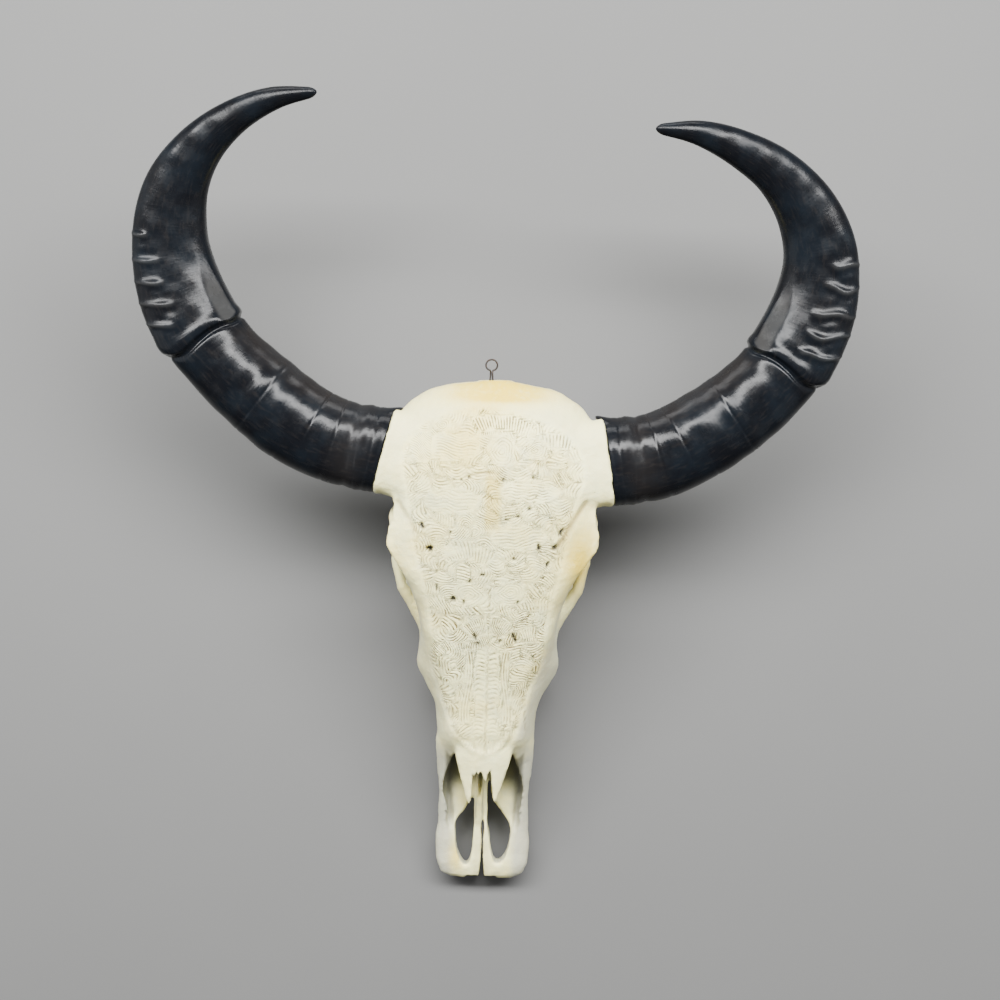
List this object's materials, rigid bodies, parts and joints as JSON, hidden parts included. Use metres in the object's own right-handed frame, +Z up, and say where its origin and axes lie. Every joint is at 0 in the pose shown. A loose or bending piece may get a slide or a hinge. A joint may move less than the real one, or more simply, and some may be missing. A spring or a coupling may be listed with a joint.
{
  "type": "carved buffalo skull",
  "caption": "Horned buffalo skull without lower jaw, its forehead and nose bones engraved with scrolls and fringes, lying on its cheek teeth.",
  "frame": {"origin": "centre of the bounding box, on the surface that the skull lies on", "axes": "+Y from the muzzle towards the crest and the horn tips, +Z up out of the forehead side, +X to the right in the picture; left and right in the names are the picture's"},
  "size_m": [0.6864, 0.7586, 0.2222],
  "materials": {
    "bone": "matte",
    "horn": "gloss",
    "tooth": "satin",
    "wire": "satin"
  },
  "bodies": {
    "root": {"hanging_wire": "wire", "horn_sheath_left": "horn", "horn_sheath_right": "horn", "molar_1_left": "tooth", "molar_1_right": "tooth", "molar_2_left": "tooth", "molar_2_right": "tooth", "molar_3_left": "tooth", "molar_3_right": "tooth", "premolar_1_left": "tooth", "premolar_1_right": "tooth", "premolar_2_left": "tooth", "premolar_2_right": "tooth", "premolar_3_left": "tooth", "premolar_3_right": "tooth", "skull": "bone"}
  },
  "joints": []
}
